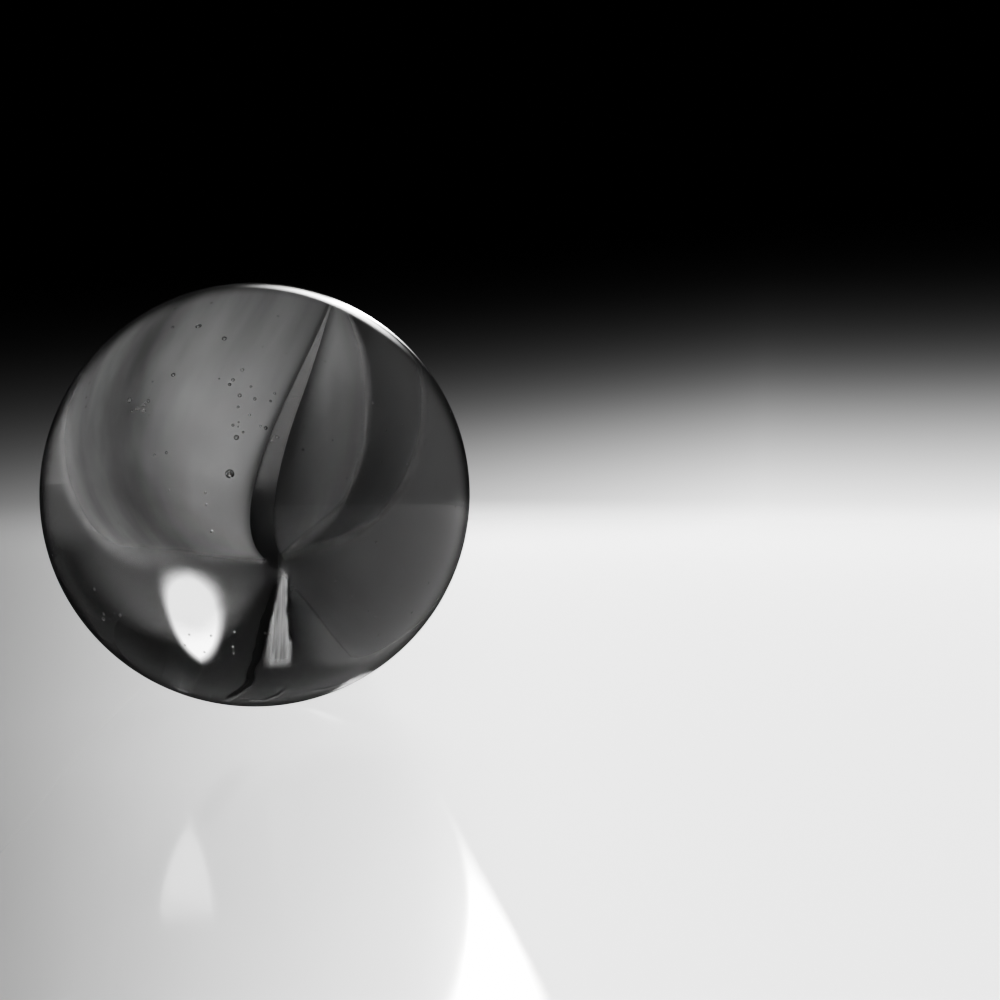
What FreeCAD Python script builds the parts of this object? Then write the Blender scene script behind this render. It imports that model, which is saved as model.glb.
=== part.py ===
"""Glass marble: a clear glass ball with a bowed core strand and ribbons of grey glass fused inside it.

Millimetres and degrees, +Z up, origin at the centre of the ball. The marble stands as it rests on a
table, with the cut-off end of its core low on the -Y side.
"""

import FreeCAD, Part
import math
import os
from FreeCAD import Vector

# Clear glass body
ball_diameter = 16.0
rim_cover = 0.12  # clear glass left between a ribbon's rim and the skin
end_cover = 0.85  # clear glass left past the ends of the core, along its chord

# Core strand: a bowed spindle that the ribbons join. Its chord leans, low end forward.
chord_turn = -7.0  # about Z, from -Y
chord_dip = 27.9  # below the horizontal
bow_sideways = 1.58  # how far the middle of the core hangs left of its ends
bow_down = 1.82  # how far it hangs below them
chord_shift_sideways = 0.27  # place of the core's middle from the ball's centre
chord_shift_up = 0.0
core_diameter = 1.20  # at the middle
core_end_diameter = 0.60

# Ribbons: radial blades of coloured glass that turn as they run along the core
ribbon_root_thickness = 0.09
ribbon_rim_thickness = 0.06
root_sink = 0.15  # how far a blade starts inside the core before the core is cut from it
turn_rate = 0.6  # under 1, a ribbon turns fastest near the cut-off end
sections_along_core = 13

# Each ribbon: its angle at the cut-off end and its turn to the far end, in degrees seen from the
# front, anticlockwise from the right
ribbons = {
    "left_ribbon": {"start": 190.0, "turn": -72.0},
    "leaf_ribbon": {"start": 30.0, "turn": 48.0},
    "right_ribbon": {"start": 10.0, "turn": 42.0},
    "lower_right_ribbon": {"start": -90.0, "turn": 118.0},
    "lower_left_ribbon": {"start": -116.0, "turn": -66.0},
}

# Foot ribbon: a strip that runs from the cut-off end of the core down under the skin
foot_cover = 0.15  # clear glass over its lower end
foot_thickness = 0.12
foot_top_width = 0.34
foot_bottom_width = 1.15
foot_bottom_dip = 48.0  # where it ends, in degrees below the horizontal
foot_bottom_turn = 6.0  # and about Z, to the right of the front
foot_sections = 9

ball_radius = ball_diameter / 2
core_reach = ball_radius - end_cover

turn_angle = math.radians(chord_turn)
dip_angle = math.radians(chord_dip)
toward_cut_off = Vector(
    math.sin(turn_angle) * math.cos(dip_angle),
    -math.cos(turn_angle) * math.cos(dip_angle),
    -math.sin(dip_angle),
)
sideways = Vector(math.cos(turn_angle), math.sin(turn_angle), 0)
upward = toward_cut_off.cross(sideways)


def core_point(along):
    """Centre of the core at a distance along its chord, positive toward the cut-off end."""
    bowed = (along / ball_radius) ** 2
    return (
        toward_cut_off * along
        + sideways * (chord_shift_sideways + bow_sideways * bowed)
        + upward * (chord_shift_up + bow_down * bowed)
    )


def core_radius(share):
    """Radius of the core at a share of its run, from 0 at the cut-off end to 1 at the far end."""
    swell = math.sin(math.pi * share)
    return (core_end_diameter + (core_diameter - core_end_diameter) * swell) / 2


def direction(angle):
    """Unit vector across the chord at an angle in degrees, anticlockwise from the right."""
    return sideways * math.cos(math.radians(angle)) + upward * math.sin(math.radians(angle))


def distance_to_rim(start, heading):
    """How far a blade runs from start along heading to stay rim_cover under the skin."""
    along = start.dot(heading)
    cover_radius = ball_radius - rim_cover
    return math.sqrt(along**2 + cover_radius**2 - start.dot(start)) - along


def core_strand():
    rings = []
    for step in range(sections_along_core):
        share = step / (sections_along_core - 1)
        centre = core_point(core_reach * (1 - 2 * share))
        ring = Part.Circle(centre, toward_cut_off, core_radius(share)).toShape()
        rings.append(Part.Wire([ring]))
    return Part.makeLoft(rings, True)


def blade_section(along, share, angle):
    """Closed outline of a ribbon across the chord: thick at the root, thin at the rim."""
    centre = core_point(along)
    heading = direction(angle)
    across = toward_cut_off.cross(heading)
    root = centre + heading * (core_radius(share) - root_sink)
    rim = centre + heading * distance_to_rim(centre, heading)
    root_half = across * (ribbon_root_thickness / 2)
    rim_half = across * (ribbon_rim_thickness / 2)
    return Part.makePolygon(
        [root - root_half, rim - rim_half, rim + rim_half, root + root_half, root - root_half]
    )


def ribbon(start, turn):
    outlines = []
    for step in range(sections_along_core):
        share = step / (sections_along_core - 1)
        along = core_reach * (1 - 2 * share)
        outlines.append(blade_section(along, share, start + turn * share**turn_rate))
    return Part.makeLoft(outlines, True)


def foot_section(share):
    """Outline of the foot strip across its run, at a share of it from 0 at the top to 1."""
    top = core_point(core_reach)
    top_dip = math.asin(-top.z / top.Length)
    top_turn = math.atan2(top.x, -top.y)
    dip = top_dip + (math.radians(foot_bottom_dip) - top_dip) * share
    turn = top_turn + (math.radians(foot_bottom_turn) - top_turn) * share
    outward = Vector(
        math.sin(turn) * math.cos(dip), -math.cos(turn) * math.cos(dip), -math.sin(dip)
    )
    bottom_radius = ball_radius - foot_cover - foot_thickness / 2
    radius = top.Length + (bottom_radius - top.Length) * math.sqrt(share)
    width = foot_top_width + (foot_bottom_width - foot_top_width) * share
    half_across = Vector(math.cos(turn), math.sin(turn), 0) * (width / 2)
    outer = outward * (radius + foot_thickness / 2)
    inner = outward * (radius - foot_thickness / 2)
    return Part.makePolygon(
        [
            outer - half_across,
            outer + half_across,
            inner + half_across,
            inner - half_across,
            outer - half_across,
        ]
    )


def foot_strip():
    outlines = []
    for step in range(foot_sections):
        outlines.append(foot_section(step / (foot_sections - 1)))
    return Part.makeLoft(outlines, True)


core = core_strand()
foot = foot_strip().cut(core)
pieces = {"core_strand": core, "foot_ribbon": foot}
for name, angles in ribbons.items():
    pieces[name] = ribbon(angles["start"], angles["turn"]).cut([core, foot])

ball = Part.makeSphere(ball_radius)
pieces["clear_glass_body"] = ball.cut(list(pieces.values()))

os.makedirs("parts", exist_ok=True)
for name, shape in pieces.items():
    shape.exportStep(f"parts/{name}.step")
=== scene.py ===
"""Glass marble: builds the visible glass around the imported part, its materials and a plain stage."""

import math
from collections import namedtuple

import bmesh
import bpy
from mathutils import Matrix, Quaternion, Vector, noise


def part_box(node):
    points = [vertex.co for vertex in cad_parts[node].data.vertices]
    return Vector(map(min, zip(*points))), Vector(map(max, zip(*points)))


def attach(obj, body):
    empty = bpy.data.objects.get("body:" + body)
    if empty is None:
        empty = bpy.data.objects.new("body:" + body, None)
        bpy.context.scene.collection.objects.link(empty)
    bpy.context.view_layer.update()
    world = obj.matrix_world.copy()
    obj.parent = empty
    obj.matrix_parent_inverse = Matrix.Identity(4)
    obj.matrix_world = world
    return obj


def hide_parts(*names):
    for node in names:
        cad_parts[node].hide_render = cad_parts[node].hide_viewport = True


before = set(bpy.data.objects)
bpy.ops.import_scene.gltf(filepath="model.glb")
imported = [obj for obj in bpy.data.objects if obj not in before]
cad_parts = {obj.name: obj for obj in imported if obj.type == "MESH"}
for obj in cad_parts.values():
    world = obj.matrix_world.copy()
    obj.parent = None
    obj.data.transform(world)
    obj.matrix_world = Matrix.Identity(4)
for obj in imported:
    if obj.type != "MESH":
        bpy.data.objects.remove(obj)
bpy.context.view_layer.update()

bl_info = {
    "name": "Glass marble",
    "version": (1, 0, 0),
    "blender": (4, 5, 0),
    "location": "3D View > Sidebar > Marble",
    "description": "Builds a clear glass marble with ribbons of grey glass inside",
    "category": "Add Mesh",
}

MM = 0.001
LOWEST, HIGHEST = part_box("clear_glass_body")
BALL_RADIUS = (HIGHEST.x - LOWEST.x) / 2


def on_skin(turn, dip):
    """Unit vector to a place on the skin: degrees right of the front, and below the horizontal."""
    turn, dip = math.radians(turn), math.radians(dip)
    return Vector(
        (math.sin(turn) * math.cos(dip), -math.cos(turn) * math.cos(dip), -math.sin(dip))
    )


# The core's chord and bow, as the part has them
CHORD_TURN = -7.0
CHORD_DIP = 27.9
TOWARD_CUT_OFF = on_skin(CHORD_TURN, CHORD_DIP)
SIDEWAYS = Vector((math.cos(math.radians(CHORD_TURN)), math.sin(math.radians(CHORD_TURN)), 0))
UPWARD = TOWARD_CUT_OFF.cross(SIDEWAYS)
MIDDLE_SIDEWAYS = 0.27  # mm from the chord to the core's middle
BOW_SIDEWAYS = 1.58  # mm from the core's middle to its line at the skin
BOW_UPWARD = 1.82
CORE_MIDDLE = SIDEWAYS * MIDDLE_SIDEWAYS * MM
CORE_BOW = SIDEWAYS * BOW_SIDEWAYS * MM + UPWARD * BOW_UPWARD * MM
END_COVER = 0.85 * MM
CORE_REACH = BALL_RADIUS - END_COVER

RIBBON_MAP = "ribbon_map"
# Names the stored share of painted shade along the skin's creases
CREASE_PAINTED_SHADE = "crease_painted_shade"


def size(name, description, default):
    """A length in millimetres, kept in metres."""
    return bpy.props.FloatProperty(
        name=name, description=description, default=default * MM, unit="LENGTH", subtype="DISTANCE"
    )


def share(name, description, default):
    return bpy.props.FloatProperty(
        name=name, description=description, default=default, min=0, max=1, subtype="FACTOR"
    )


def angle(name, description, default):
    """An angle in degrees, kept in radians."""
    default = math.radians(default)
    return bpy.props.FloatProperty(
        name=name, description=description, default=default, unit="ROTATION", subtype="ANGLE"
    )


def grey(name, description, default):
    return bpy.props.FloatVectorProperty(
        name=name, description=description, default=(default,) * 3, min=0, max=1, subtype="COLOR"
    )


def amount(name, description, default, **options):
    """A number that can't be negative."""
    return bpy.props.FloatProperty(
        name=name, description=description, default=default, min=0, **options
    )


class BallSettings(bpy.types.PropertyGroup):
    crease_depth: size("Crease Depth", "Depth of the deepest crease in the skin", 0.07)
    crease_width: size("Crease Width", "Half width of the widest crease", 0.15)
    ripple: size("Ripple", "Height of the skin's slow waves", 0.004)
    largest_bubble: size("Largest Bubble", "Diameter of the largest bubble", 0.30)
    shallowest: size("Shallowest", "Least depth of a bubble under the skin", 0.25)
    deepest: size("Deepest", "Most depth of a bubble under the skin", 1.0)
    seed: bpy.props.IntProperty(name="Seed", description="Seed of the bubbles' places", default=4)
    tint: grey("Tint", "Colour of the clear glass", 0.97)


class CoreSettings(bpy.types.PropertyGroup):
    middle_diameter: size("Middle Diameter", "Diameter at the middle of its run", 1.20)
    end_diameter: size("End Diameter", "Diameter at its ends", 0.60)
    density: amount("Density", "How fast its smoky glass darkens, per metre", 220)


class RibbonSettings(bpy.types.PropertyGroup):
    thickness: size("Thickness", "Thickness of every ribbon", 0.075)
    rim_cover: size("Rim Cover", "Clear glass left between a ribbon's rim and the skin", 0.12)
    root_sink: size("Root Sink", "How far a ribbon starts inside the core", 0.08)
    ripple: size("Ripple", "How far a ribbon waves from its blade", 0.12)
    turn_rate: share("Turn Rate", "Under 1, a ribbon turns fastest near the cut-off end", 0.6)
    rim_fade: share("Rim Fade", "Share of the width over which a ribbon thins to its rim", 0.20)
    end_fade: share("End Fade", "Share of the length over which a ribbon thins to its ends", 0.14)
    glow: share("Glow", "Share of the light that goes through and not back", 0.5)


class FootSettings(bpy.types.PropertyGroup):
    cover: size("Cover", "Clear glass over its lower end", 0.15)
    thickness: size("Thickness", "Thickness of the strip", 0.12)
    top_width: size("Top Width", "Width at the core", 0.34)
    bottom_width: size("Bottom Width", "Width at its lower end", 1.15)
    bottom_dip: angle("Bottom Dip", "Where it ends, below the horizontal", 48)
    bottom_turn: angle("Bottom Turn", "Where it ends, about Z", 6)
    colour: grey("Colour", "Colour of the white glass", 0.64)


class StageSettings(bpy.types.PropertyGroup):
    table: grey("Table", "Colour of the lit side of the table", 0.82)
    dim_table: grey("Dim Table", "Colour of the other side of the table", 0.10)
    glow: amount("Glow", "How brightly the table glows to the camera", 3.2)
    fade_start: size("Fade Start", "Distance at which the table starts to melt into the backdrop", 90)
    fade_end: size("Fade End", "Distance at which only the backdrop is left", 280)
    backdrop: amount("Backdrop", "Brightness of the backdrop under the horizon", 3.7)
    lamp_power: amount("Softbox Power", "Power of the softbox", 560.0, unit="POWER")
    rim_power: amount(
        "Rim Light Power", "Power of the wide lamp that only lights the rim", 29.0, unit="POWER"
    )


# Start and turn are in degrees, dark and light are the greys that its streaks and its painted pool of
# light run between, and the centre of that painted light is given across and along. The clear rim is a
# share of its width that has no mist.
Ribbon = namedtuple("Ribbon", "name slot start turn dark light density streaks heart clear_rim")
RIBBONS = (
    Ribbon("left_ribbon", "light_grey_glass", 190, -72, 0.07, 0.98, 0.97, 5, (0.08, 0.43), 0.0),
    Ribbon("leaf_ribbon", "light_grey_glass", 30, 48, 0.12, 0.31, 0.95, 5, (0.50, 0.55), 0.0),
    Ribbon("right_ribbon", "dark_grey_glass", 10, 42, 0.075, 0.105, 0.95, 5, (0.5, 0.5), 0.0),
    Ribbon("lower_right_ribbon", "mid_grey_glass", -90, 118, 0.075, 0.075, 0.95, 5, (0.5, 0.3), 0.0),
    Ribbon("lower_left_ribbon", "veil_glass", -116, -66, 0.09, 0.14, 0.60, 5, (0.4, 0.1), 0.38),
)

# The path is in degrees on the skin. Width and depth are shares of the settings' own, and a
# negative depth stands out as a ridge.
Crease = namedtuple("Crease", "path width depth")
CREASES = (
    Crease(((4.5, 17), (3, 23), (1, 31), (-2, 44), (-6, 55), (-14, 61), (-23, 66)), 1.0, 1.0),
    Crease(((7, 15), (7, 25), (9, 36), (13, 42)), 0.8, 0.5),
    Crease(((13, 42), (13, 44), (9, 46), (4, 47.5)), 0.7, -0.35),
    Crease(((11, 54), (9, 62), (2, 66), (-4, 66)), 0.7, 0.5),
    Crease(((27, 61), (41, 60), (55, 58)), 0.6, 0.3),
)

# A group's middle and spread in degrees on the skin, and its sizes as shares of the largest
Bubbles = namedtuple("Bubbles", "turn dip spread count smallest largest")
BUBBLES = (
    Bubbles(-7.5, -6.8, 0.0, 1, 1.0, 1.0),
    Bubbles(-6, -16, 0.0, 1, 0.6, 0.6),
    Bubbles(-35, -25, 3.5, 6, 0.3, 0.7),
    Bubbles(-3, -21, 7.0, 14, 0.2, 0.5),
    Bubbles(-5, -30, 6.0, 6, 0.2, 0.45),
    Bubbles(-20, -5, 12.0, 6, 0.15, 0.4),
    Bubbles(-25, -48, 12.0, 5, 0.3, 0.6),
    Bubbles(-52, 27, 10.0, 14, 0.2, 0.5),
    Bubbles(-16, 40, 6.0, 8, 0.2, 0.4),
    Bubbles(32, -14, 14.0, 9, 0.15, 0.3),
    Bubbles(40, 22, 14.0, 10, 0.15, 0.3),
    Bubbles(180, 0, 50.0, 24, 0.15, 0.5),
)


def greyed(value):
    return (value, value, value, 1)


# ---------------------------------------------------------------------------
# Node helpers
# ---------------------------------------------------------------------------


def feed(tree, socket, value):
    """Links another node's output to a socket, or sets the socket to a plain value."""
    if isinstance(value, bpy.types.NodeSocket):
        tree.links.new(value, socket)
    else:
        socket.default_value = value


def add(tree, kind, values=None, **settings):
    """A node of that kind, with its settings, and its inputs set or linked by name or number."""
    node = tree.nodes.new(kind)
    for setting, value in settings.items():
        setattr(node, setting, value)
    for key, value in (values or {}).items():
        feed(tree, node.inputs[key], value)
    return node


def maths(tree, operation, *values):
    return add(tree, "ShaderNodeMath", dict(enumerate(values)), operation=operation).outputs[0]


def vector_maths(tree, operation, *values):
    node = add(tree, "ShaderNodeVectorMath", operation=operation)
    vectors = [socket for socket in node.inputs if socket.type == "VECTOR"]
    for socket, value in zip(vectors, values):
        feed(tree, socket, value)
    return node


def scaled(tree, vector, factor):
    """A vector times a number."""
    values = {0: vector, "Scale": factor}
    return add(tree, "ShaderNodeVectorMath", values, operation="SCALE").outputs[0]


def split(tree, vector):
    """The x, y and z of a vector."""
    return add(tree, "ShaderNodeSeparateXYZ", {0: vector}).outputs


def vector_of(tree, x, y, z=0.0):
    """A vector from its x, y and z."""
    return add(tree, "ShaderNodeCombineXYZ", {0: x, 1: y, 2: z}).outputs[0]


def total(tree, *vectors):
    result = vectors[0]
    for vector in vectors[1:]:
        result = vector_maths(tree, "ADD", result, vector).outputs[0]
    return result


def dot(tree, one, other):
    return vector_maths(tree, "DOT_PRODUCT", one, other).outputs["Value"]


def ramp_between(tree, value, low, high):
    """0 at low and beyond, 1 at high and beyond, and smooth between. Low may be the larger."""
    values = {"Value": value, "From Min": low, "From Max": high}
    return add(tree, "ShaderNodeMapRange", values, interpolation_type="SMOOTHSTEP").outputs["Result"]


def blended(tree, factor, one, other):
    """A colour from one to the other by a factor from 0 to 1."""
    node = add(tree, "ShaderNodeMix", {0: factor, 6: one, 7: other}, data_type="RGBA")
    return node.outputs[2]


def summed(tree, one, other, part):
    """A part of one value and the rest of the other."""
    return maths(tree, "MULTIPLY_ADD", one, part, maths(tree, "MULTIPLY", other, 1.0 - part))


def from_edges(tree, part):
    """How far a share from 0 to 1 is from the nearer of the two."""
    return maths(tree, "MINIMUM", part, maths(tree, "SUBTRACT", 1.0, part))


def cloud(tree, place, scale, detail):
    """Smooth noise from 0 to 1."""
    values = {"Vector": place, "Scale": scale, "Detail": detail}
    return add(tree, "ShaderNodeTexNoise", values).outputs["Fac"]


def spots(tree, place, scale):
    """Distance to the nearest of many scattered points, in cells."""
    values = {"Vector": place, "Scale": scale}
    return add(tree, "ShaderNodeTexVoronoi", values).outputs["Distance"]


def seen_more(tree, unseen):
    """1 for what the camera sees, and less for the light that falls on other things."""
    seen = add(tree, "ShaderNodeLightPath").outputs["Is Camera Ray"]
    return maths(tree, "MULTIPLY_ADD", seen, 1.0 - unseen, unseen)


def between_shaders(tree, factor, one, other):
    """A shader from one node's to the other's by a factor from 0 to 1."""
    values = {0: factor, 1: one.outputs[0], 2: other.outputs[0]}
    return add(tree, "ShaderNodeMixShader", values)


def misty_shader(tree, colour, roughness, through_share):
    """Scatters light back to where it came from, and a share of it out of the far side."""
    back = add(
        tree,
        "ShaderNodeBsdfPrincipled",
        {"Base Color": colour, "Roughness": roughness, "Specular IOR Level": 0.0},
    )
    through = add(tree, "ShaderNodeBsdfTranslucent", {"Color": colour})
    return between_shaders(tree, through_share, back, through)


def new_group(name, kind, inputs, outputs):
    """A node group and its two end nodes. Inputs are (name, socket type, default)."""
    group = bpy.data.node_groups.new(name, kind)
    for label, socket_type, default in inputs:
        socket = group.interface.new_socket(label, in_out="INPUT", socket_type=socket_type)
        if default is not None:
            socket.default_value = default
    for label, socket_type in outputs:
        group.interface.new_socket(label, in_out="OUTPUT", socket_type=socket_type)
    return group, group.nodes.new("NodeGroupInput"), group.nodes.new("NodeGroupOutput")


def new_material(name):
    """An empty material, its tree and its output node."""
    material = bpy.data.materials.new(name)
    material.use_nodes = True
    material.node_tree.nodes.clear()
    return material, material.node_tree, material.node_tree.nodes.new("ShaderNodeOutputMaterial")


def made_plain(name, tree, values, finishing=None, mesh=None):
    """A plain mesh object from a Geometry Nodes tree. Values are given by input name."""
    seed = bpy.data.objects.new(name + "_seed", mesh or bpy.data.meshes.new(name + "_seed"))
    bpy.context.scene.collection.objects.link(seed)
    modifier = seed.modifiers.new("Build", "NODES")
    modifier.node_group = tree
    for item in tree.interface.items_tree:
        if item.item_type == "SOCKET" and item.in_out == "INPUT" and item.name in values:
            modifier[item.identifier] = values[item.name]
    if finishing:
        finishing(seed)
    evaluated = seed.evaluated_get(bpy.context.evaluated_depsgraph_get())
    mesh = bpy.data.meshes.new_from_object(evaluated)
    bpy.data.objects.remove(seed)
    for number in reversed(range(len(mesh.materials))):
        if mesh.materials[number] is None:
            mesh.materials.pop(index=number)
    piece = bpy.data.objects.new(name, mesh)
    bpy.context.scene.collection.objects.link(piece)
    return piece


def settle(piece, node):
    """Attaches a finished piece to the root body and hides the CAD node that it stands for."""
    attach(piece, "root")
    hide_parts(node)


# ---------------------------------------------------------------------------
# Materials
# ---------------------------------------------------------------------------

SHADOW_THINNING = 0.65  # share of a ribbon's density that its shadows leave out
LIGHT_POOL_SIZE = 0.50  # share of a ribbon over which its painted pool of light fades
CLEAR_GLASS_IOR = 1.5
PAINTED_RIM_START = 0.66  # facing of the glass, from 0 square on to 1 edge on, where the painted dark reflection at its rim starts
PAINTED_RIM_FULL = 0.86
PAINTED_RIM_DARKNESS = 0.85
# Painted shade in the creases and the painted dark rim are both drawn in this grey
PAINTED_DARK_GREY = 0.02
CREASE_SHADE_COVER = 0.8
CHIP_GREY = 0.35
CHIP_COVER = 0.35
SCUFF_SCALE = 900.0  # per metre, as every scale on the ball
PIT_SCALE = 700.0
CHIP_SCALE = 1500.0
CHIPPED_AREA_SCALE = 260.0
WISP_SCALE = 700.0  # of the wisps in the core's smoke
SMOKE_GREY = 0.18
SMOKE_FADE_START = 6.4 * MM  # depth from the ball's middle plane
SMOKE_FADE_END = 7.0 * MM
STRAND_DIMNESS = 0.45  # of the dark streaks in the white glass
TABLE_UNSEEN = 0.28  # share of the table's colour that lights the marble
LIT_SPREAD = 11.8 * MM  # half width, beside the marble, of the table's change from dim to lit
LIT_SPREAD_RATE = 0.19  # its growth with the distance behind
LEAST_LIT_SPREAD = 4 * MM
MIRROR_FADE = 5 * MM  # how far right the table stops mirroring


def glass_streaks_group():
    """Streaks drawn out along a ribbon and the mist between them, from a map across and along it, with a
    painted pool of light and painted shade by the core.
    """
    tree, given, result = new_group(
        "Glass Streaks",
        "ShaderNodeTree",
        [
            ("Map", "NodeSocketVector", None),
            ("Streaks Across", "NodeSocketFloat", 9.0),
            ("Shift", "NodeSocketFloat", 0.0),
            ("Clear Rim", "NodeSocketFloat", 0.0),
            ("Rim Fade", "NodeSocketFloat", 0.1),
            ("End Fade", "NodeSocketFloat", 0.05),
            ("Heart", "NodeSocketVector", (0.5, 0.5, 0)),
        ],
        [("Milk And Painted Light", "NodeSocketFloat"), ("Cover", "NodeSocketFloat")],
    )
    across, along, _ = split(tree, given.outputs["Map"])
    drawn_out = vector_of(
        tree,
        maths(tree, "MULTIPLY", across, given.outputs["Streaks Across"]),
        maths(tree, "MULTIPLY", along, 2.2),
        given.outputs["Shift"],
    )
    fine = cloud(tree, drawn_out, 1.0, 4.0)
    broad = cloud(tree, scaled(tree, drawn_out, 0.32), 1.0, 1.0)
    streak = ramp_between(tree, summed(tree, fine, broad, 0.45), 0.30, 0.70)
    # Painted pool of light: the ribbon's grey is lightest round a given point and fades out over its
    # size
    from_light_pool = vector_maths(tree, "DISTANCE", given.outputs["Map"], given.outputs["Heart"])
    heart = ramp_between(tree, from_light_pool.outputs["Value"], LIGHT_POOL_SIZE, 0.0)
    milk = summed(tree, streak, heart, 0.25)
    # Painted shade: the ribbon's grey darkens where it meets the core
    painted_root_shade = ramp_between(tree, across, -0.05, 0.05)
    clear_there = ramp_between(tree, along, 0.70, 0.50)
    clear_rim = maths(tree, "MULTIPLY", given.outputs["Clear Rim"], clear_there)
    from_rim = maths(tree, "SUBTRACT", maths(tree, "SUBTRACT", 1.0, across), clear_rim)
    wander = maths(tree, "MULTIPLY_ADD", broad, 0.10, -0.05)
    rim = ramp_between(tree, maths(tree, "ADD", from_rim, wander), 0.0, given.outputs["Rim Fade"])
    end = ramp_between(tree, from_edges(tree, along), 0.0, given.outputs["End Fade"])
    tree.links.new(maths(tree, "MULTIPLY", milk, painted_root_shade), result.inputs["Milk And Painted Light"])
    tree.links.new(maths(tree, "MULTIPLY", rim, end), result.inputs["Cover"])
    return tree


def ribbon_glass(ribbon, streaks, settings, shift):
    """Misty coloured glass: scatters light both ways, thins along its streaks and at its rim."""
    material, tree, output = new_material(ribbon.name + "_glass")
    values = {
        "Map": add(tree, "ShaderNodeUVMap", uv_map=RIBBON_MAP).outputs[0],
        "Streaks Across": ribbon.streaks,
        "Shift": shift,
        "Clear Rim": ribbon.clear_rim,
        "Rim Fade": settings.rim_fade,
        "End Fade": settings.end_fade,
        "Heart": (*ribbon.heart, 0),
    }
    pattern = add(tree, "ShaderNodeGroup", values, node_tree=streaks)
    # Its grey runs from dark to light by its streaks and a painted pool of light, darker by painted
    # shade at the core
    colour = blended(tree, pattern.outputs["Milk And Painted Light"], greyed(ribbon.dark), greyed(ribbon.light))
    misty = misty_shader(tree, colour, 0.6, settings.glow)
    clear = add(tree, "ShaderNodeBsdfTransparent")
    shadow = add(tree, "ShaderNodeLightPath").outputs["Is Shadow Ray"]
    stopped = maths(tree, "MULTIPLY_ADD", shadow, -SHADOW_THINNING * ribbon.density, ribbon.density)
    density = maths(tree, "MULTIPLY", pattern.outputs["Cover"], stopped)
    glass = between_shaders(tree, density, clear, misty)
    tree.links.new(glass.outputs[0], output.inputs["Surface"])
    return material


def clear_glass(settings):
    """Polished clear glass with faint scuffs and pits, pale chips, painted shade in its creases,
    and a painted dark reflection round its rim that only the camera sees.

    Lamps shine straight through it.
    """
    material, tree, output = new_material("polished_clear_glass")
    place = add(tree, "ShaderNodeTexCoord").outputs["Object"]
    wear = ramp_between(tree, cloud(tree, place, SCUFF_SCALE, 5.0), 0.60, 0.82)
    roughness = maths(tree, "MULTIPLY", wear, 0.05)
    pit = maths(tree, "SUBTRACT", 1.0, ramp_between(tree, spots(tree, place, PIT_SCALE), 0.02, 0.10))
    bump = add(
        tree,
        "ShaderNodeBump",
        {"Height": pit, "Strength": 0.12, "Distance": 0.01 * MM},
        invert=True,
    )
    # Painted shade: the glass's tint goes toward black along its creases, and a dark diffuse share grows
    # there
    painted_shade = add(tree, "ShaderNodeAttribute", attribute_name=CREASE_PAINTED_SHADE).outputs["Fac"]
    crease_shade_mask = ramp_between(tree, painted_shade, 0.08, 0.45)
    tint = blended(tree, crease_shade_mask, (*settings.tint, 1), greyed(PAINTED_DARK_GREY))
    glass = add(
        tree,
        "ShaderNodeBsdfPrincipled",
        {
            "Base Color": tint,
            "Roughness": roughness,
            "IOR": CLEAR_GLASS_IOR,
            "Transmission Weight": 1.0,
            "Normal": bump.outputs[0],
        },
    )
    path = add(tree, "ShaderNodeLightPath")
    # Painted reflection: for camera rays the glass turns to dark diffuse toward its rim, as if mirroring
    # a dark room
    facing = add(tree, "ShaderNodeLayerWeight", {"Blend": 0.5}).outputs["Facing"]
    rim = maths(tree, "MULTIPLY", ramp_between(tree, facing, PAINTED_RIM_START, PAINTED_RIM_FULL), PAINTED_RIM_DARKNESS)
    rim_painted_reflection = maths(tree, "MULTIPLY", rim, path.outputs["Is Camera Ray"])
    painted_dark_share = maths(tree, "MAXIMUM", rim_painted_reflection, maths(tree, "MULTIPLY", crease_shade_mask, CREASE_SHADE_COVER))
    # Dark diffuse that carries the painted shade in the creases and the painted dark rim
    dark = add(tree, "ShaderNodeBsdfDiffuse", {"Color": greyed(PAINTED_DARK_GREY)})
    glass_with_painted_dark = between_shaders(tree, painted_dark_share, glass, dark)
    chips = ramp_between(tree, spots(tree, place, CHIP_SCALE), 0.11, 0.05)
    chipped_area = ramp_between(tree, cloud(tree, place, CHIPPED_AREA_SCALE, 2.0), 0.54, 0.62)
    chip = maths(tree, "MULTIPLY", maths(tree, "MULTIPLY", chips, chipped_area), CHIP_COVER)
    pale = add(tree, "ShaderNodeBsdfDiffuse", {"Color": greyed(CHIP_GREY)})
    chipped = between_shaders(tree, chip, glass_with_painted_dark, pale)
    clear = add(tree, "ShaderNodeBsdfTransparent", {"Color": greyed(0.9)})
    surface = between_shaders(tree, path.outputs["Is Shadow Ray"], chipped, clear)
    tree.links.new(surface.outputs[0], output.inputs["Surface"])
    return material


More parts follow.
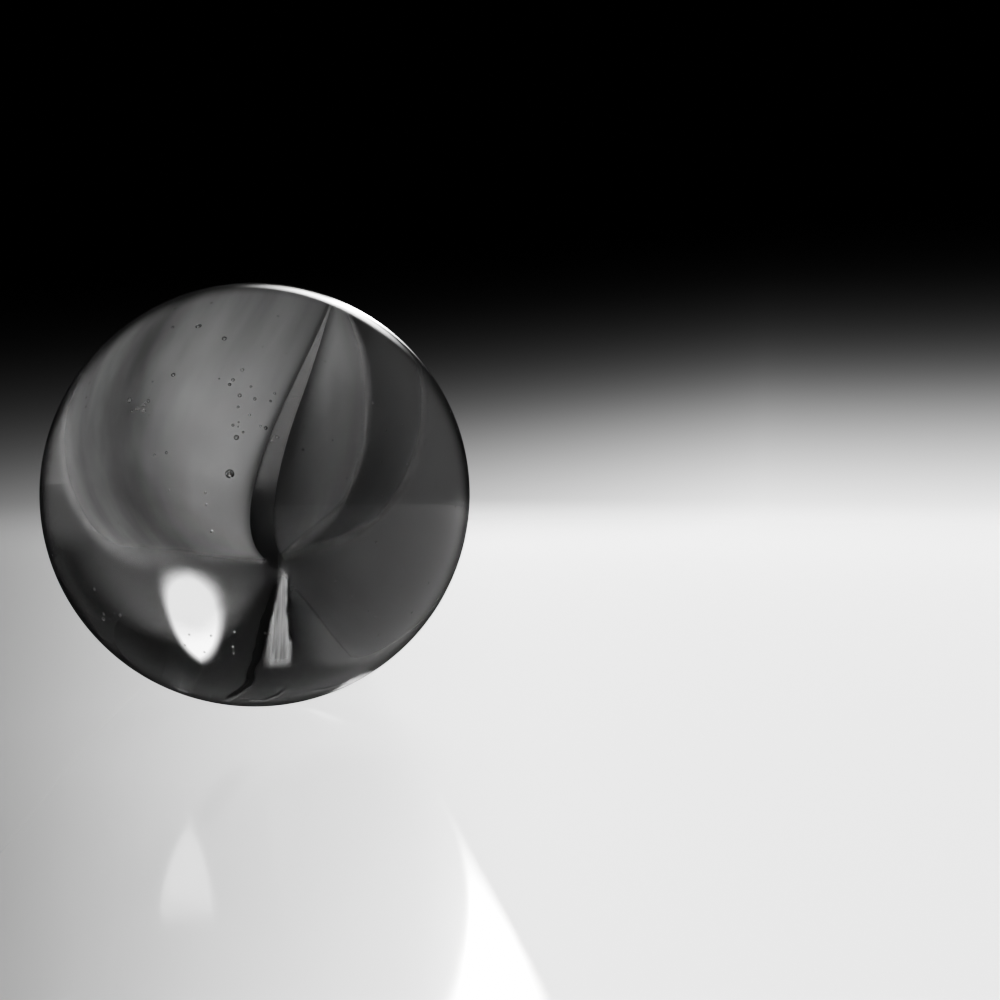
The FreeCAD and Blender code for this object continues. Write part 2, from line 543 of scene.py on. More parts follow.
def smoky_glass(settings):
    """Dark glass that fuses into the clear glass round it and takes light off by its depth."""
    material, tree, output = new_material("smoky_glass")
    place = add(tree, "ShaderNodeTexCoord").outputs["Object"]
    wisps = ramp_between(tree, cloud(tree, place, WISP_SCALE, 3.0), 0.35, 0.75)
    clear = add(tree, "ShaderNodeBsdfTransparent")
    smoke = misty_shader(tree, greyed(SMOKE_GREY), 0.6, 0.6)
    facing = add(tree, "ShaderNodeLayerWeight", {"Blend": 0.5}).outputs["Facing"]
    towards = maths(tree, "POWER", maths(tree, "SUBTRACT", 1.0, facing), 2.0)
    off_middle = maths(tree, "ABSOLUTE", split(tree, place)[1])
    inside = ramp_between(tree, off_middle, SMOKE_FADE_END, SMOKE_FADE_START)
    cover = maths(tree, "MULTIPLY_ADD", wisps, 0.2, 0.6)
    smoke_share = maths(tree, "MULTIPLY", cover, maths(tree, "MULTIPLY", towards, inside))
    surface = between_shaders(tree, smoke_share, clear, smoke)
    depth = add(
        tree, "ShaderNodeVolumeAbsorption", {"Color": greyed(0.0), "Density": settings.density}
    )
    tree.links.new(surface.outputs[0], output.inputs["Surface"])
    tree.links.new(depth.outputs[0], output.inputs["Volume"])
    return material


def white_glass(settings):
    """Milky white glass, thin at its edges, with streaks that run down it."""
    material, tree, output = new_material("milky_glass")
    place = add(tree, "ShaderNodeUVMap", uv_map=RIBBON_MAP).outputs[0]
    across, along, _ = split(tree, place)
    stretched = vector_maths(tree, "MULTIPLY", place, (7.0, 1.6, 1.0)).outputs[0]
    streak = ramp_between(tree, cloud(tree, stretched, 1.0, 3.0), 0.35, 0.65)
    dim = tuple(STRAND_DIMNESS * part for part in settings.colour)
    streaked = blended(tree, streak, (*dim, 1), (*settings.colour, 1))
    brighter_above = maths(tree, "MULTIPLY_ADD", along, -0.80, 1.15)
    colour = scaled(tree, streaked, brighter_above)
    edge = ramp_between(tree, from_edges(tree, across), 0.0, 0.35)
    end = ramp_between(tree, from_edges(tree, along), 0.0, 0.20)
    density = maths(tree, "MULTIPLY", maths(tree, "MULTIPLY", edge, end), 0.9)
    milk = misty_shader(tree, colour, 0.5, 0.5)
    clear = add(tree, "ShaderNodeBsdfTransparent")
    glass = between_shaders(tree, density, clear, milk)
    tree.links.new(glass.outputs[0], output.inputs["Surface"])
    return material


def pale_table(settings):
    """Glossy pale sheet that glows to the camera, dims to the left and melts into the backdrop."""
    material, tree, output = new_material("pale_table")
    place = add(tree, "ShaderNodeTexCoord").outputs["Object"]
    distance = vector_maths(tree, "LENGTH", place).outputs["Value"]
    nearness = maths(tree, "DIVIDE", 1.0, distance)
    melted = ramp_between(tree, nearness, 1 / settings.fade_start, 1 / settings.fade_end)
    right, behind, _ = split(tree, place)
    growing = maths(tree, "MULTIPLY_ADD", behind, LIT_SPREAD_RATE, LIT_SPREAD)
    spread = maths(tree, "MAXIMUM", growing, LEAST_LIT_SPREAD)
    lit = ramp_between(tree, maths(tree, "DIVIDE", right, spread), -1.0, 1.0)
    colour = blended(tree, lit, (*settings.dim_table, 1), (*settings.table, 1))
    gloss = add(
        tree,
        "ShaderNodeBsdfPrincipled",
        {
            "Base Color": scaled(tree, colour, seen_more(tree, TABLE_UNSEEN)),
            "Roughness": 0.08,
            "Specular IOR Level": ramp_between(tree, right, MIRROR_FADE, 0),
            "IOR": 1.45,
            "Emission Color": colour,
            "Emission Strength": maths(tree, "MULTIPLY", seen_more(tree, 0.0), settings.glow),
        },
    )
    clear = add(tree, "ShaderNodeBsdfTransparent")
    table = between_shaders(tree, melted, gloss, clear)
    tree.links.new(table.outputs[0], output.inputs["Surface"])
    return material


# ---------------------------------------------------------------------------
# Geometry Nodes: ribbons, core, foot and seed
# ---------------------------------------------------------------------------

PATH_INPUTS = [
    ("Toward Cut-off", "NodeSocketVector", TOWARD_CUT_OFF),
    ("Middle", "NodeSocketVector", CORE_MIDDLE),
    ("Bow", "NodeSocketVector", CORE_BOW),
    ("Reach", "NodeSocketFloat", CORE_REACH),
    ("Ball Radius", "NodeSocketFloat", BALL_RADIUS),
]


def path_point(tree, given, along):
    """Nodes for the centre of the core at a distance along its chord."""
    part_out = maths(tree, "ABSOLUTE", maths(tree, "DIVIDE", along, given["Ball Radius"]))
    return total(
        tree,
        scaled(tree, given["Toward Cut-off"], along),
        given["Middle"],
        scaled(tree, given["Bow"], maths(tree, "POWER", part_out, 2.0)),
    )


def distance_along(tree, given, share_run):
    """From a share of the run, 0 at the cut-off end, to the signed distance along the chord."""
    return maths(tree, "MULTIPLY", given["Reach"], maths(tree, "MULTIPLY_ADD", share_run, -2.0, 1.0))


def swelling_radius(tree, middle, end, share_run):
    """The core's radius at a share of its run."""
    swell = maths(tree, "SINE", maths(tree, "MULTIPLY", share_run, math.pi))
    return maths(tree, "MULTIPLY_ADD", swell, maths(tree, "SUBTRACT", middle, end), end)


def mapped_grid(tree, across_steps, along_steps):
    """A flat grid with its map stored, and its two shares: across and along."""
    grid = add(
        tree,
        "GeometryNodeMeshGrid",
        {"Size X": 1.0, "Size Y": 1.0, "Vertices X": across_steps, "Vertices Y": along_steps},
    )
    x, y, _ = split(tree, add(tree, "GeometryNodeInputPosition").outputs[0])
    across = maths(tree, "ADD", x, 0.5)
    along = maths(tree, "ADD", y, 0.5)
    stored = add(
        tree,
        "GeometryNodeStoreNamedAttribute",
        {"Geometry": grid.outputs["Mesh"], "Name": RIBBON_MAP, "Value": vector_of(tree, across, along)},
        data_type="FLOAT2",
        domain="CORNER",
    )
    shares = []
    geometry = stored.outputs["Geometry"]
    for name, value in (("across", across), ("along", along)):
        kept = add(
            tree,
            "GeometryNodeStoreNamedAttribute",
            {"Geometry": geometry, "Name": name, "Value": value},
            data_type="FLOAT",
            domain="POINT",
        )
        geometry = kept.outputs["Geometry"]
        named = add(tree, "GeometryNodeInputNamedAttribute", {"Name": name}, data_type="FLOAT")
        shares.append(named.outputs["Attribute"])
    return geometry, shares[0], shares[1]


def finished(tree, geometry, material, result):
    """Ends a tree: smooth shading, real geometry and its material."""
    smooth = add(tree, "GeometryNodeSetShadeSmooth", {"Geometry": geometry})
    real = add(tree, "GeometryNodeRealizeInstances", {"Geometry": smooth.outputs[0]})
    coloured = add(
        tree, "GeometryNodeSetMaterial", {"Geometry": real.outputs[0], "Material": material}
    )
    tree.links.new(coloured.outputs[0], result.inputs["Geometry"])


def ribbon_tree():
    """A blade of glass that runs along the core and turns as it goes."""
    tree, given_node, result = new_group(
        "Ribbon",
        "GeometryNodeTree",
        PATH_INPUTS
        + [
            ("Sideways", "NodeSocketVector", SIDEWAYS),
            ("Upward", "NodeSocketVector", UPWARD),
            ("Start Angle", "NodeSocketFloat", 0.0),
            ("Turn", "NodeSocketFloat", 0.0),
            ("Turn Rate", "NodeSocketFloat", 0.6),
            ("Rim Cover", "NodeSocketFloat", 0.12 * MM),
            ("Core Middle Radius", "NodeSocketFloat", 0.6 * MM),
            ("Core End Radius", "NodeSocketFloat", 0.3 * MM),
            ("Root Sink", "NodeSocketFloat", 0.1 * MM),
            ("Ripple", "NodeSocketFloat", 0.1 * MM),
            ("Seed", "NodeSocketFloat", 0.0),
            ("Material", "NodeSocketMaterial", None),
        ],
        [("Geometry", "NodeSocketGeometry")],
    )
    given = given_node.outputs
    geometry, across, share_run = mapped_grid(tree, 49, 161)
    along = distance_along(tree, given, share_run)
    centre = path_point(tree, given, along)
    turned = maths(tree, "MULTIPLY", given["Turn"], maths(tree, "POWER", share_run, given["Turn Rate"]))
    heading_angle = maths(tree, "ADD", given["Start Angle"], turned)
    heading = total(
        tree,
        scaled(tree, given["Sideways"], maths(tree, "COSINE", heading_angle)),
        scaled(tree, given["Upward"], maths(tree, "SINE", heading_angle)),
    )
    ahead = dot(tree, centre, heading)
    cover_radius = maths(tree, "SUBTRACT", given["Ball Radius"], given["Rim Cover"])
    inside = maths(
        tree,
        "SUBTRACT",
        maths(tree, "ADD", maths(tree, "POWER", ahead, 2.0), maths(tree, "POWER", cover_radius, 2.0)),
        dot(tree, centre, centre),
    )
    rim = maths(tree, "SUBTRACT", maths(tree, "SQRT", inside), ahead)
    core_radius = swelling_radius(tree, given["Core Middle Radius"], given["Core End Radius"], share_run)
    root = maths(tree, "SUBTRACT", core_radius, given["Root Sink"])
    reach = maths(tree, "MULTIPLY_ADD", across, maths(tree, "SUBTRACT", rim, root), root)
    blade_normal = vector_maths(tree, "CROSS_PRODUCT", given["Toward Cut-off"], heading).outputs[0]
    noise_place = vector_of(tree, across, maths(tree, "MULTIPLY", share_run, 1.6), given["Seed"])
    wandering = cloud(tree, noise_place, 2.4, 2.0)
    free_middle = maths(tree, "MULTIPLY", across, maths(tree, "SUBTRACT", 1.0, across))
    wave = maths(
        tree,
        "MULTIPLY",
        maths(tree, "MULTIPLY_ADD", wandering, 8.0, -4.0),  # makes up for the quarter in the middle
        maths(tree, "MULTIPLY", free_middle, given["Ripple"]),
    )
    place = total(tree, centre, scaled(tree, heading, reach), scaled(tree, blade_normal, wave))
    moved = add(tree, "GeometryNodeSetPosition", {"Geometry": geometry, "Position": place})
    finished(tree, moved.outputs[0], given["Material"], result)
    return tree


def foot_tree():
    """A strip from the cut-off end of the core down under the skin, wider as it goes."""
    tree, given_node, result = new_group(
        "Foot",
        "GeometryNodeTree",
        [
            ("Ball Radius", "NodeSocketFloat", BALL_RADIUS),
            ("Cover", "NodeSocketFloat", 0.15 * MM),
            ("Top Radius", "NodeSocketFloat", 7.4 * MM),
            ("Top Dip", "NodeSocketFloat", 0.25),
            ("Bottom Dip", "NodeSocketFloat", 1.0),
            ("Top Turn", "NodeSocketFloat", 0.1),
            ("Bottom Turn", "NodeSocketFloat", 0.0),
            ("Top Width", "NodeSocketFloat", 0.34 * MM),
            ("Bottom Width", "NodeSocketFloat", 1.3 * MM),
            ("Crown", "NodeSocketFloat", 0.05 * MM),
            ("Material", "NodeSocketMaterial", None),
        ],
        [("Geometry", "NodeSocketGeometry")],
    )
    given = given_node.outputs
    geometry, across, share_run = mapped_grid(tree, 25, 97)

    def between(low, high, factor=share_run):
        return maths(tree, "MULTIPLY_ADD", factor, maths(tree, "SUBTRACT", high, low), low)

    dip = between(given["Top Dip"], given["Bottom Dip"])
    turn = between(given["Top Turn"], given["Bottom Turn"])
    cos_dip = maths(tree, "COSINE", dip)
    outward = vector_of(
        tree,
        maths(tree, "MULTIPLY", maths(tree, "SINE", turn), cos_dip),
        maths(tree, "MULTIPLY", maths(tree, "COSINE", turn), maths(tree, "MULTIPLY", cos_dip, -1.0)),
        maths(tree, "MULTIPLY", maths(tree, "SINE", dip), -1.0),
    )
    level = vector_of(tree, maths(tree, "COSINE", turn), maths(tree, "SINE", turn))
    bottom_radius = maths(tree, "SUBTRACT", given["Ball Radius"], given["Cover"])
    off_middle = maths(tree, "SUBTRACT", across, 0.5)
    off_squared = maths(tree, "POWER", maths(tree, "ABSOLUTE", off_middle), 2.0)
    crown = maths(
        tree, "MULTIPLY", maths(tree, "MULTIPLY_ADD", off_squared, -4.0, 1.0), given["Crown"]
    )
    radius = maths(
        tree, "ADD", between(given["Top Radius"], bottom_radius, maths(tree, "SQRT", share_run)), crown
    )
    offset = maths(tree, "MULTIPLY", off_middle, between(given["Top Width"], given["Bottom Width"]))
    place = total(tree, scaled(tree, outward, radius), scaled(tree, level, offset))
    moved = add(tree, "GeometryNodeSetPosition", {"Geometry": geometry, "Position": place})
    finished(tree, moved.outputs[0], given["Material"], result)
    return tree


def core_tree():
    """The bowed spindle that the ribbons join."""
    tree, given_node, result = new_group(
        "Core Strand",
        "GeometryNodeTree",
        PATH_INPUTS
        + [
            ("Middle Radius", "NodeSocketFloat", 0.4 * MM),
            ("End Radius", "NodeSocketFloat", 0.3 * MM),
            ("Material", "NodeSocketMaterial", None),
        ],
        [("Geometry", "NodeSocketGeometry")],
    )
    given = given_node.outputs
    steps = 97
    line = add(tree, "GeometryNodeMeshLine", {"Count": steps, "Offset": (0, 0, 1)})
    curve = add(tree, "GeometryNodeMeshToCurve", {"Mesh": line.outputs[0]})
    index = add(tree, "GeometryNodeInputIndex").outputs[0]
    share_run = maths(tree, "DIVIDE", index, steps - 1.0)
    along = distance_along(tree, given, share_run)
    moved = add(
        tree,
        "GeometryNodeSetPosition",
        {"Geometry": curve.outputs[0], "Position": path_point(tree, given, along)},
    )
    radius = swelling_radius(tree, given["Middle Radius"], given["End Radius"], share_run)
    ring = add(tree, "GeometryNodeCurvePrimitiveCircle", {"Resolution": 48, "Radius": 1.0})
    values = {
        "Curve": moved.outputs[0],
        "Profile Curve": ring.outputs[0],
        "Scale": radius,
        "Fill Caps": True,
    }
    tube = add(tree, "GeometryNodeCurveToMesh", values)
    finished(tree, tube.outputs[0], given["Material"], result)
    return tree


# Added to the seed, so that depths and sizes are drawn apart from places
DEPTH_DRAW = 100
SIZE_DRAW = 200


def random_between(tree, low, high, seed):
    """A random number for each point."""
    node = add(tree, "FunctionNodeRandomValue", {"Seed": seed}, data_type="FLOAT")
    numbers = [socket for socket in node.inputs if socket.type == "VALUE"]
    for socket, value in zip(numbers, (low, high)):
        feed(tree, socket, value)
    return node.outputs["Value"]


def bubble_tree(seed):
    """Adds the seed bubbles to the ball as hollows, so their faces point into them."""
    tree, given_node, result = new_group(
        "Bubbles",
        "GeometryNodeTree",
        [
            ("Geometry", "NodeSocketGeometry", None),
            ("Ball Radius", "NodeSocketFloat", BALL_RADIUS),
            ("Largest", "NodeSocketFloat", 0.3 * MM),
            ("Shallowest", "NodeSocketFloat", 0.25 * MM),
            ("Deepest", "NodeSocketFloat", 1.0 * MM),
            ("Material", "NodeSocketMaterial", None),
        ],
        [("Geometry", "NodeSocketGeometry")],
    )
    given = given_node.outputs
    joined = add(tree, "GeometryNodeJoinGeometry")
    for number, bubbles in enumerate(BUBBLES):
        scatter = add(
            tree,
            "FunctionNodeRandomValue",
            {"Min": (-1, -1, -1), "Max": (1, 1, 1), "Seed": seed + number},
            data_type="FLOAT_VECTOR",
        )
        strayed = scaled(tree, scatter.outputs["Value"], math.radians(bubbles.spread))
        aimed = total(tree, on_skin(bubbles.turn, bubbles.dip), strayed)
        outward = vector_maths(tree, "NORMALIZE", aimed).outputs[0]
        depth = random_between(tree, given["Shallowest"], given["Deepest"], seed + number + DEPTH_DRAW)
        place = scaled(tree, outward, maths(tree, "SUBTRACT", given["Ball Radius"], depth))
        relative = random_between(tree, bubbles.smallest, bubbles.largest, seed + number + SIZE_DRAW)
        points = add(tree, "GeometryNodePoints", {"Count": bubbles.count, "Position": place})
        fineness = 4 if bubbles.count == 1 else 2
        hollow = add(tree, "GeometryNodeMeshIcoSphere", {"Radius": 0.5, "Subdivisions": fineness})
        placed = add(
            tree,
            "GeometryNodeInstanceOnPoints",
            {
                "Points": points.outputs[0],
                "Instance": hollow.outputs[0],
                "Scale": maths(tree, "MULTIPLY", relative, given["Largest"]),
            },
        )
        tree.links.new(placed.outputs[0], joined.inputs[0])
    real = add(tree, "GeometryNodeRealizeInstances", {"Geometry": joined.outputs[0]})
    inward = add(tree, "GeometryNodeFlipFaces", {"Mesh": real.outputs[0]})
    whole = add(tree, "GeometryNodeJoinGeometry")
    tree.links.new(given["Geometry"], whole.inputs[0])
    tree.links.new(inward.outputs[0], whole.inputs[0])
    finished(tree, whole.outputs[0], given["Material"], result)
    return tree


# ---------------------------------------------------------------------------
# The ball's skin
# ---------------------------------------------------------------------------

SEGMENTS = 480
RINGS = 170
POLE = on_skin(2, 40)  # among the creases, where the mesh is finest
EVEN_SHARE = 0.35  # of the rings' spacing. The rest crowds them round the pole
NEAR_POLE = 0.4  # cosine of the angle from the pole within which creases lie
CREASE_END = 0.08  # share of its half wave that a crease leaves out at each end
CREASE_FLANK = 3  # half widths from its line at which a crease no longer shows
WOBBLE = 0.012  # how far a crease wanders from its runs, in radii
WOBBLE_FINENESS = 14
WOBBLE_SEED = 1
RIPPLE_FINENESS = 2.6


def ring_angle(step):
    """Angle of a ring from the pole. Rings are close together near it."""
    part = step / RINGS
    return math.pi * (EVEN_SHARE * part + (1 - EVEN_SHARE) * part**3)


def crease_swell(step, last):
    """A crease's share of its full depth at a step of its path, low at both ends."""
    return math.sin(math.pi * (CREASE_END + (1 - 2 * CREASE_END) * step / last))


def crease_runs():
    """Each straight run of each crease: its ends, its width and depth, and its swell at both ends."""
    runs = []
    for crease in CREASES:
        places = [on_skin(*place) for place in crease.path]
        last = len(places) - 1
        for number in range(last):
            swell = (crease_swell(number, last), crease_swell(number + 1, last))
            runs.append((places[number], places[number + 1], crease.width, crease.depth, swell))
    return runs


def crease_height(direction, runs, settings):
    """How far the skin stands out at a direction, in metres. The deepest crease there wins."""
    height = 0.0
    for start, end, width, depth, swell in runs:
        run = end - start
        along = max(0.0, min(1.0, (direction - start).dot(run) / run.length_squared))
        off = (direction - start - run * along).length * BALL_RADIUS / (width * settings.crease_width)
        if off < CREASE_FLANK:
            here = swell[0] + (swell[1] - swell[0]) * along
            groove = -depth * here * settings.crease_depth * math.exp(-off * off)
            if abs(groove) > abs(height):
                height = groove
    return height


def skin_vertex(mesh, painted_shade, direction, runs, settings):
    """A vertex of the skin, with the share of painted shade that its crease gives it."""
    height = 0.0
    if direction.dot(POLE) > NEAR_POLE:
        wobble = noise.noise_vector(direction * WOBBLE_FINENESS) * WOBBLE
        height = crease_height((direction + wobble).normalized(), runs, settings)
    ripple = noise.noise(direction * RIPPLE_FINENESS) * settings.ripple
    vertex = mesh.verts.new(direction * (BALL_RADIUS + height + ripple))
    vertex[painted_shade] = max(0.0, -height / settings.crease_depth)
    return vertex


def ball_mesh(settings):
    """A closed ball of rings round a pole, with creases and slow ripples in its skin."""
    side = POLE.orthogonal().normalized()
    other = POLE.cross(side)
    runs = crease_runs()
    noise.seed_set(WOBBLE_SEED)
    mesh = bmesh.new()
    # Each vertex keeps its share of painted shade, from how deep its crease is
    painted_shade = mesh.verts.layers.float.new(CREASE_PAINTED_SHADE)
    top = skin_vertex(mesh, painted_shade, POLE, runs, settings)
    rings = []
    for step in range(1, RINGS):
        from_pole = ring_angle(step)
        ring = []
        for number in range(SEGMENTS):
            round_pole = math.tau * number / SEGMENTS
            outward = side * math.cos(round_pole) + other * math.sin(round_pole)
            direction = POLE * math.cos(from_pole) + outward * math.sin(from_pole)
            ring.append(skin_vertex(mesh, painted_shade, direction, runs, settings))
        rings.append(ring)
    bottom = skin_vertex(mesh, painted_shade, -POLE, runs, settings)
    for number in range(SEGMENTS):
        after = (number + 1) % SEGMENTS
        mesh.faces.new((top, rings[0][number], rings[0][after]))
        for inner, outer in zip(rings, rings[1:]):
            mesh.faces.new((inner[number], outer[number], outer[after], inner[after]))
        mesh.faces.new((bottom, rings[-1][after], rings[-1][number]))
    skin = bpy.data.meshes.new("skin")
    mesh.to_mesh(skin)
    mesh.free()
    return skin


# ---------------------------------------------------------------------------
# Pieces
# ---------------------------------------------------------------------------


def thickened(thickness):
    """A finishing step that gives a sheet its thickness."""

    def finish_sheet(sheet):
        solid = sheet.modifiers.new("Thickness", "SOLIDIFY")
        solid.thickness = thickness
        solid.offset = 0

    return finish_sheet


class MARBLE_OT_ball(bpy.types.Operator):
    """Adds the clear glass ball with its creases and seed bubbles"""

    bl_idname = "marble.ball"
    bl_label = "Clear Glass Ball"

    def execute(self, context):
        settings = context.scene.marble_ball
        values = {
            "Ball Radius": BALL_RADIUS,
            "Largest": settings.largest_bubble,
            "Shallowest": settings.shallowest,
            "Deepest": settings.deepest,
            "Material": clear_glass(settings),
        }
        skin = ball_mesh(settings)
        piece = made_plain("ball_glass", bubble_tree(settings.seed), values, mesh=skin)
        settle(piece, "clear_glass_body")
        return {"FINISHED"}


class MARBLE_OT_core(bpy.types.Operator):
    """Adds the bowed core strand of smoky glass"""

    bl_idname = "marble.core"
    bl_label = "Core Strand"

    def execute(self, context):
        settings = context.scene.marble_core
        values = {
            "Middle Radius": settings.middle_diameter / 2,
            "End Radius": settings.end_diameter / 2,
            "Material": smoky_glass(settings),
        }
        piece = made_plain("core_glass", core_tree(), values)
        settle(piece, "core_strand")
        return {"FINISHED"}


class MARBLE_OT_ribbons(bpy.types.Operator):
    """Adds the five ribbons of misty grey glass"""

    bl_idname = "marble.ribbons"
    bl_label = "Ribbons"

    def execute(self, context):
        settings = context.scene.marble_ribbons
        core = context.scene.marble_core
        tree = ribbon_tree()
        streaks = glass_streaks_group()
        for number, ribbon in enumerate(RIBBONS):
            values = {
                "Start Angle": math.radians(ribbon.start),
                "Turn": math.radians(ribbon.turn),
                "Turn Rate": settings.turn_rate,
                "Rim Cover": settings.rim_cover,
                "Core Middle Radius": core.middle_diameter / 2,
                "Core End Radius": core.end_diameter / 2,
                "Root Sink": settings.root_sink,
                "Ripple": settings.ripple,
                "Seed": 3.7 * number,
                "Material": ribbon_glass(ribbon, streaks, settings, 5.3 * number),
            }
            piece = made_plain(ribbon.name + "_glass", tree, values, thickened(settings.thickness))
            settle(piece, ribbon.name)
        return {"FINISHED"}


def core_point(along):
    """Centre of the core at a distance along its chord, positive toward the cut-off end."""
    return TOWARD_CUT_OFF * along + CORE_MIDDLE + CORE_BOW * (along / BALL_RADIUS) ** 2


class MARBLE_OT_foot(bpy.types.Operator):
    """Adds the strip of white glass under the cut-off end of the core"""

    bl_idname = "marble.foot"
    bl_label = "Foot Ribbon"

    def execute(self, context):
        settings = context.scene.marble_foot
        top = core_point(CORE_REACH)
        values = {
            "Cover": settings.cover,
            "Top Radius": top.length,
            "Top Dip": math.asin(-top.z / top.length),
            "Top Turn": math.atan2(top.x, -top.y),
            "Bottom Dip": settings.bottom_dip,
            "Bottom Turn": settings.bottom_turn,
            "Top Width": settings.top_width,
            "Bottom Width": settings.bottom_width,
            "Material": white_glass(settings),
        }
        piece = made_plain("foot_glass", foot_tree(), values, thickened(settings.thickness))
        settle(piece, "foot_ribbon")
        return {"FINISHED"}


# ---------------------------------------------------------------------------
# Stage
# ---------------------------------------------------------------------------

CAMERA_LENS = 50  # mm
CAMERA_DISTANCE = 53.75 * MM
CAMERA_RISE = 1.5  # degrees, as all angles of the camera and the lamps
CAMERA_TILT = 1.73  # how far below the horizontal it looks
CAMERA_AIM = 9.80  # how far to the right of the marble it looks

Lamp = namedtuple("Lamp", "name rise width height taper roll")
SOFTBOX = Lamp("softbox", 22.3, 0.145, 0.235, 0.34, 7)
RIM_LIGHT = Lamp("rim_light", 27, 0.28, 0.20, 0.0, 0)
LAMP_TURN = 12.3
LAMP_DISTANCE = 0.4
LAMP_SOFTNESS = 0.5  # share of its width over which its edge fades in
LAMP_FALL = 4.0  # power that makes the fade steeper

BACKDROP_UNSEEN = 0.04  # share of the backdrop's brightness that lights the marble
HORIZON_STOPS = -1.3  # the backdrop's brightness at the horizon, straight behind
BRIGHTEST_STOPS = 0.1
STOPS_RIGHT = 7.5  # how fast it brightens to the right
LEFT_LIMIT = -0.20
RIGHT_LIMIT = 0.35
STOPS_UP = -119.0  # how fast it darkens upwards, from a little under the horizon
STOPS_UP_POWER = 1.6
UNDER_HORIZON = 0.10


def add_object(name, data):
    made = bpy.data.objects.new(name, data)
    bpy.context.scene.collection.objects.link(made)
    return made


def add_table(settings):
    mesh = bmesh.new()
    bmesh.ops.create_grid(mesh, x_segments=24, y_segments=24, size=1.2)
    bmesh.ops.translate(mesh, verts=mesh.verts, vec=(0, 0, -BALL_RADIUS))
    data = bpy.data.meshes.new("table")
    mesh.to_mesh(data)
    mesh.free()
    data.materials.append(pale_table(settings))
    add_object("table", data)


def add_backdrop(settings):
    """A studio that is dim at the horizon, brighter to the right, and black above."""
    world = bpy.data.worlds.new("studio")
    bpy.context.scene.world = world
    world.use_nodes = True
    tree = world.node_tree
    tree.nodes.clear()
    right, back, up = split(tree, add(tree, "ShaderNodeTexCoord").outputs["Generated"])
    behind = ramp_between(tree, back, 0.40, 0.85)
    over = maths(tree, "MAXIMUM", maths(tree, "ADD", up, UNDER_HORIZON), 0.0)
    darker_up = maths(tree, "MULTIPLY", maths(tree, "POWER", over, STOPS_UP_POWER), STOPS_UP)
    sideways = maths(tree, "MINIMUM", maths(tree, "MAXIMUM", right, LEFT_LIMIT), RIGHT_LIMIT)
    level = maths(tree, "MULTIPLY_ADD", sideways, STOPS_RIGHT, HORIZON_STOPS)
    stops = maths(tree, "MINIMUM", maths(tree, "ADD", darker_up, level), BRIGHTEST_STOPS)
    bright = maths(tree, "MULTIPLY", maths(tree, "POWER", 2.0, stops), behind)
    brightness = maths(tree, "MULTIPLY", bright, seen_more(tree, BACKDROP_UNSEEN))
    light = add(tree, "ShaderNodeBackground", {"Color": brightness, "Strength": settings.backdrop})
    output = tree.nodes.new("ShaderNodeOutputWorld")
    tree.links.new(light.outputs[0], output.inputs["Surface"])


def away(turn, rise):
    """Unit vector away from the front: degrees right of straight back, and above the horizontal."""
    turn, rise = math.radians(turn), math.radians(rise)
    return Vector(
        (math.sin(turn) * math.cos(rise), math.cos(turn) * math.cos(rise), math.sin(rise))
    )


def add_lamp(lamp, power):
    """A softbox behind the marble whose edges fade, narrower towards its top by its taper."""
    light = bpy.data.lights.new(lamp.name, "AREA")
    light.shape = "RECTANGLE"
    light.size = lamp.width
    light.size_y = lamp.height
    light.energy = power
    light.use_nodes = True
    tree = light.node_tree
    tree.nodes.clear()
    across, up, _ = split(tree, add(tree, "ShaderNodeNewGeometry").outputs["Parametric"])
    narrowing = maths(tree, "MULTIPLY", up, lamp.taper)
    from_side = maths(tree, "SUBTRACT", from_edges(tree, across), narrowing)
    side = ramp_between(tree, from_side, 0.0, LAMP_SOFTNESS)
    end = ramp_between(tree, from_edges(tree, up), 0.0, LAMP_SOFTNESS)
    shine = maths(tree, "POWER", maths(tree, "MULTIPLY", side, end), LAMP_FALL)
    emission = add(tree, "ShaderNodeEmission", {"Strength": shine})
    tree.links.new(emission.outputs[0], tree.nodes.new("ShaderNodeOutputLight").inputs[0])
    held = add_object(lamp.name, light)
    held.location = LAMP_DISTANCE * away(LAMP_TURN, lamp.rise)
    towards_marble = (-held.location).to_track_quat("-Z", "Y")
    roll = Quaternion((0, 0, 1), math.radians(lamp.roll))
    held.rotation_euler = (towards_marble @ roll).to_euler()
    return held


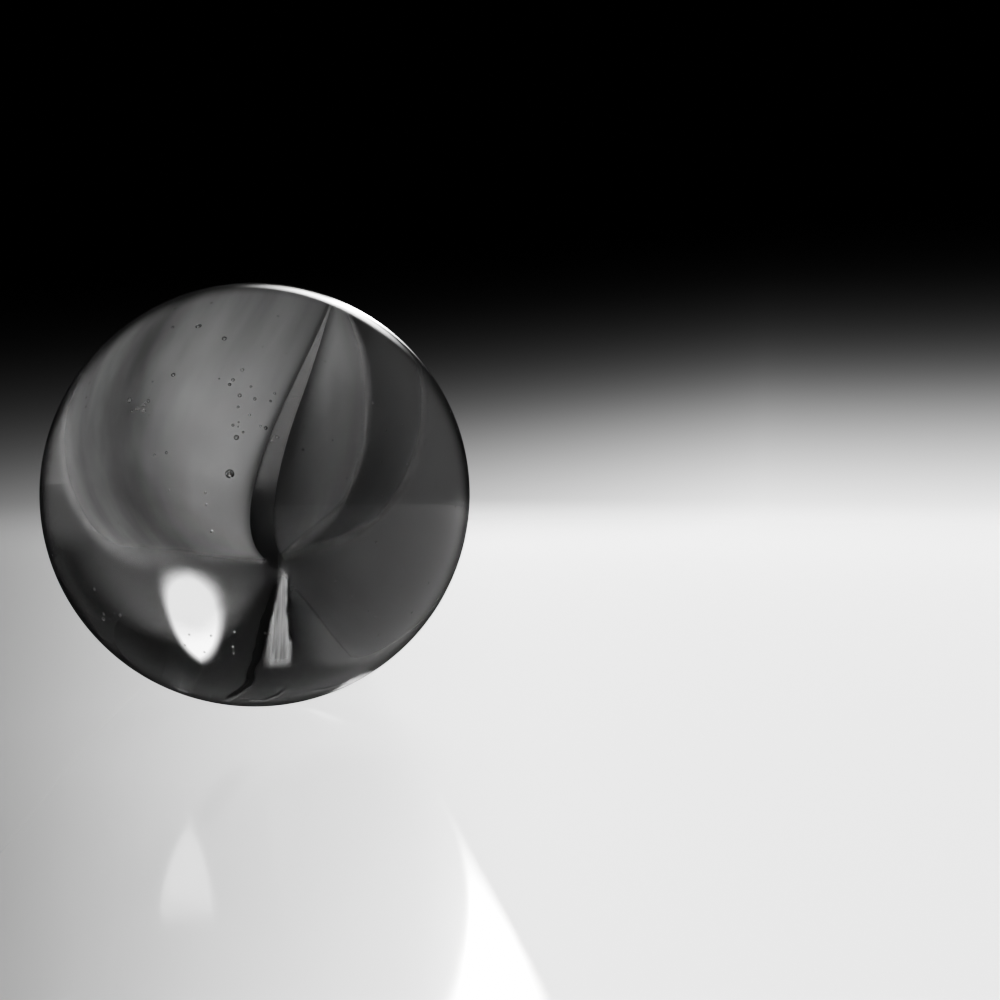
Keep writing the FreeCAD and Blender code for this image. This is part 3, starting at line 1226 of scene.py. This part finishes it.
def add_camera():
    camera = bpy.data.cameras.new("camera")
    camera.lens = CAMERA_LENS
    camera.sensor_width = 36
    camera.clip_start = MM
    camera.clip_end = 10
    held = add_object("camera", camera)
    held.location = CAMERA_DISTANCE * on_skin(0, -CAMERA_RISE)
    held.rotation_euler = away(CAMERA_AIM, -CAMERA_TILT).to_track_quat("-Z", "Y").to_euler()
    bpy.context.scene.camera = held


class MARBLE_OT_stage(bpy.types.Operator):
    """Adds the table, the backdrop, the two softboxes and the camera"""

    bl_idname = "marble.stage"
    bl_label = "Stage"

    def execute(self, context):
        settings = context.scene.marble_stage
        add_table(settings)
        add_backdrop(settings)
        add_lamp(SOFTBOX, settings.lamp_power)
        rim_light = add_lamp(RIM_LIGHT, settings.rim_power)
        rim_light.visible_transmission = False
        add_camera()
        return {"FINISHED"}


class MARBLE_PT_panel(bpy.types.Panel):
    bl_idname = "MARBLE_PT_panel"
    bl_label = "Glass Marble"
    bl_space_type = "VIEW_3D"
    bl_region_type = "UI"
    bl_category = "Marble"

    def draw(self, context):
        for operator, name, _ in STEPS:
            box = self.layout.box()
            box.operator(operator.bl_idname)
            settings = getattr(context.scene, name)
            for prop in settings.bl_rna.properties.keys():
                if prop not in ("rna_type", "name"):
                    box.prop(settings, prop)


STEPS = (
    (MARBLE_OT_ball, "marble_ball", BallSettings),
    (MARBLE_OT_core, "marble_core", CoreSettings),
    (MARBLE_OT_ribbons, "marble_ribbons", RibbonSettings),
    (MARBLE_OT_foot, "marble_foot", FootSettings),
    (MARBLE_OT_stage, "marble_stage", StageSettings),
)


def register():
    for operator, name, group in STEPS:
        bpy.utils.register_class(group)
        setattr(bpy.types.Scene, name, bpy.props.PointerProperty(type=group))
        bpy.utils.register_class(operator)
    bpy.utils.register_class(MARBLE_PT_panel)


def unregister():
    bpy.utils.unregister_class(MARBLE_PT_panel)
    for operator, name, group in STEPS:
        bpy.utils.unregister_class(operator)
        delattr(bpy.types.Scene, name)
        bpy.utils.unregister_class(group)


def main():
    register()
    bpy.ops.marble.ball()
    bpy.ops.marble.core()
    bpy.ops.marble.ribbons()
    bpy.ops.marble.foot()
    bpy.ops.marble.stage()


if __name__ == "__main__":
    main()
